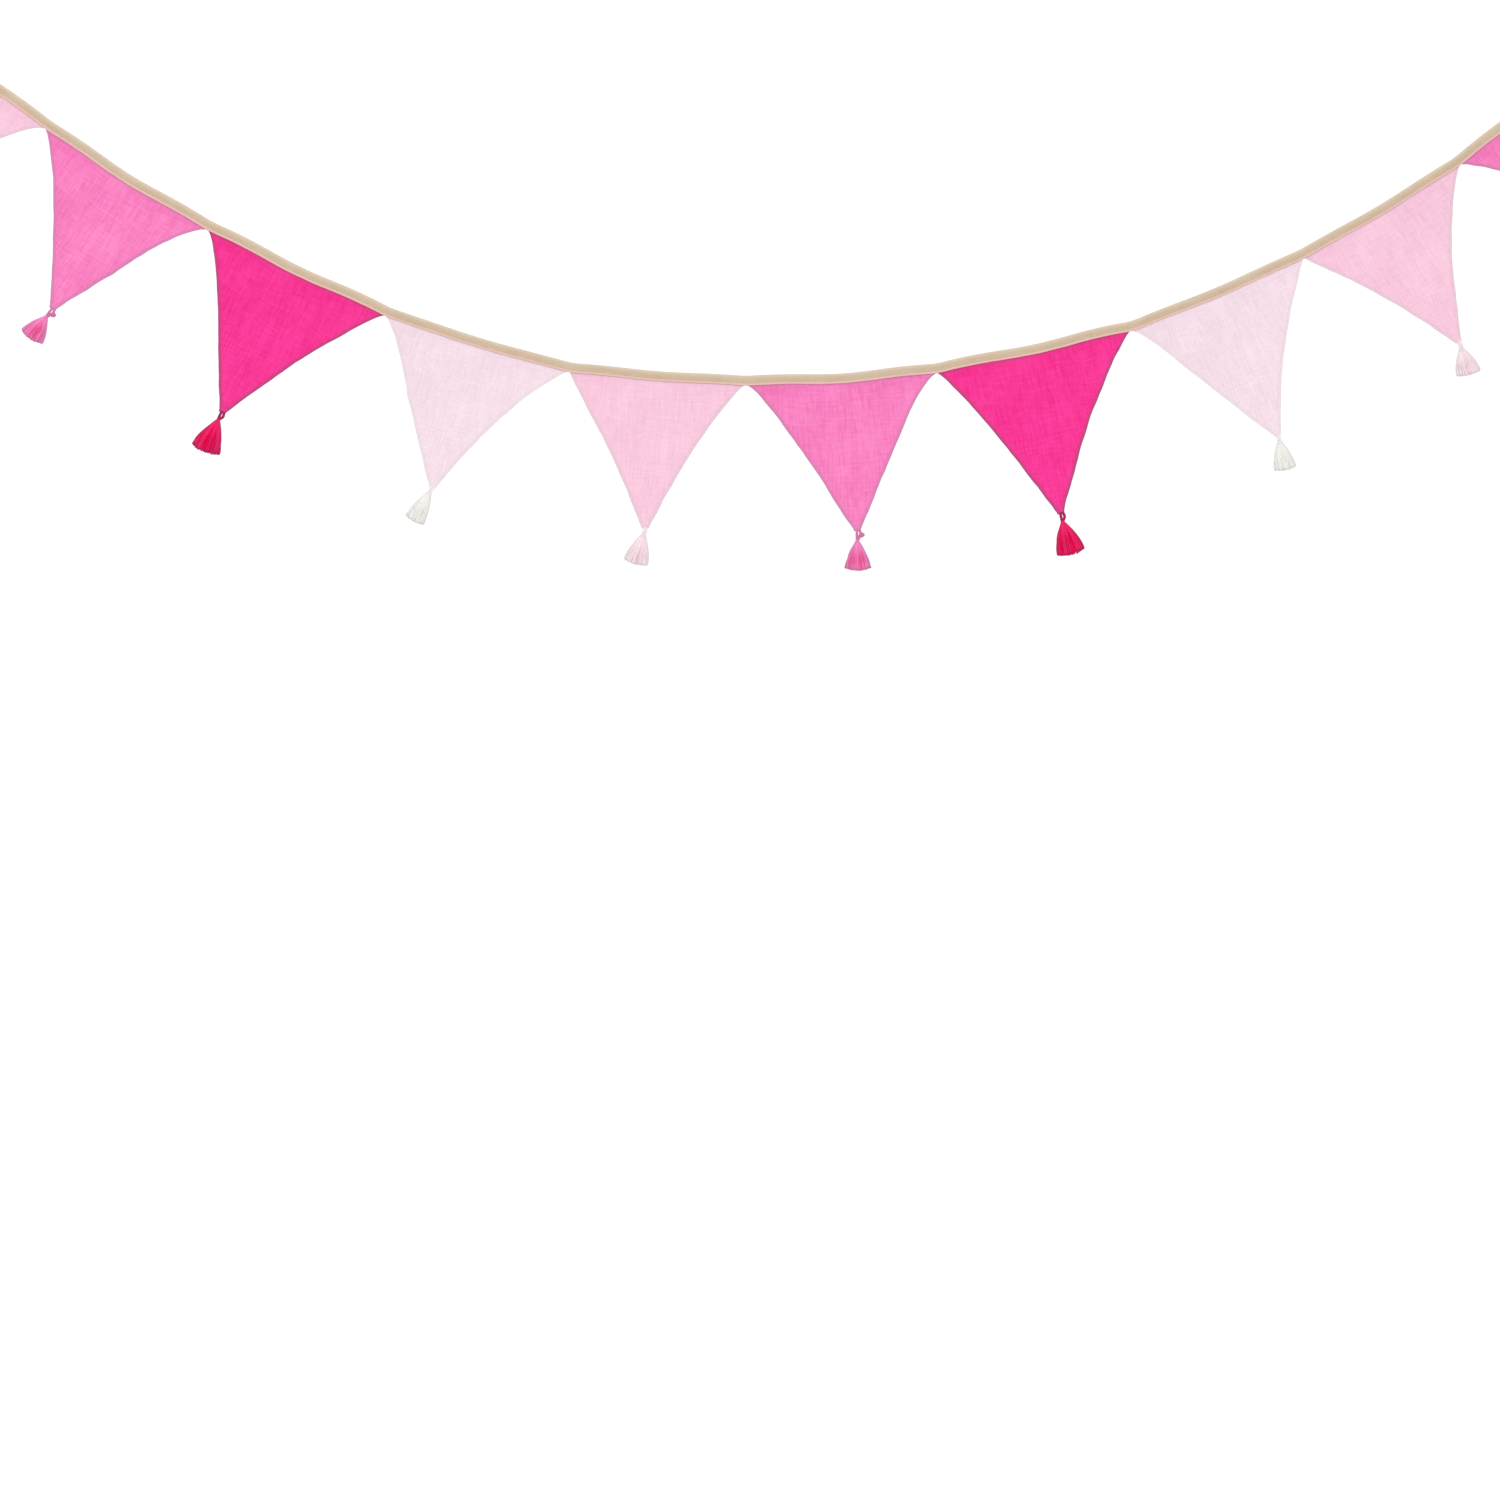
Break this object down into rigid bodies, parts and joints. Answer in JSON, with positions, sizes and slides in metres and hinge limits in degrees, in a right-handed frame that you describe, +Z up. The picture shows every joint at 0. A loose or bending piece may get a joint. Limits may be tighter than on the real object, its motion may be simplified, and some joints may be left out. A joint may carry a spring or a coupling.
{
  "type": "fabric bunting",
  "caption": "Fabric bunting hung in a swag: triangular gauze flags held in a folded binding with free ends, a thread tassel on each flag's tip.",
  "frame": {"origin": "top of the binding's left end, where the garland is tied up", "axes": "+X along the garland towards its right end, +Z up, -Y the front"},
  "size_m": [1.8979, 0.031, 0.6536],
  "materials": {
    "beige_twill": "matt cotton twill",
    "light_pink": "crinkled cotton gauze",
    "mid_pink": "crinkled cotton gauze",
    "hot_pink": "crinkled cotton gauze",
    "pale_pink": "crinkled cotton gauze",
    "blush_thread": "soft cotton thread",
    "pink_thread": "soft cotton thread",
    "crimson_thread": "soft cotton thread",
    "white_thread": "soft cotton thread"
  },
  "bodies": {
    "root": {"binding_tape": "beige_twill", "flag_01": "light_pink", "flag_02": "mid_pink", "flag_03": "hot_pink", "flag_04": "pale_pink", "flag_05": "light_pink", "flag_06": "mid_pink", "flag_07": "hot_pink", "flag_08": "pale_pink", "flag_09": "light_pink", "flag_10": "mid_pink", "tassel_01": "blush_thread", "tassel_02": "pink_thread", "tassel_03": "crimson_thread", "tassel_04": "white_thread", "tassel_05": "blush_thread", "tassel_06": "pink_thread", "tassel_07": "crimson_thread", "tassel_08": "white_thread", "tassel_09": "blush_thread", "tassel_10": "pink_thread"}
  },
  "joints": []
}
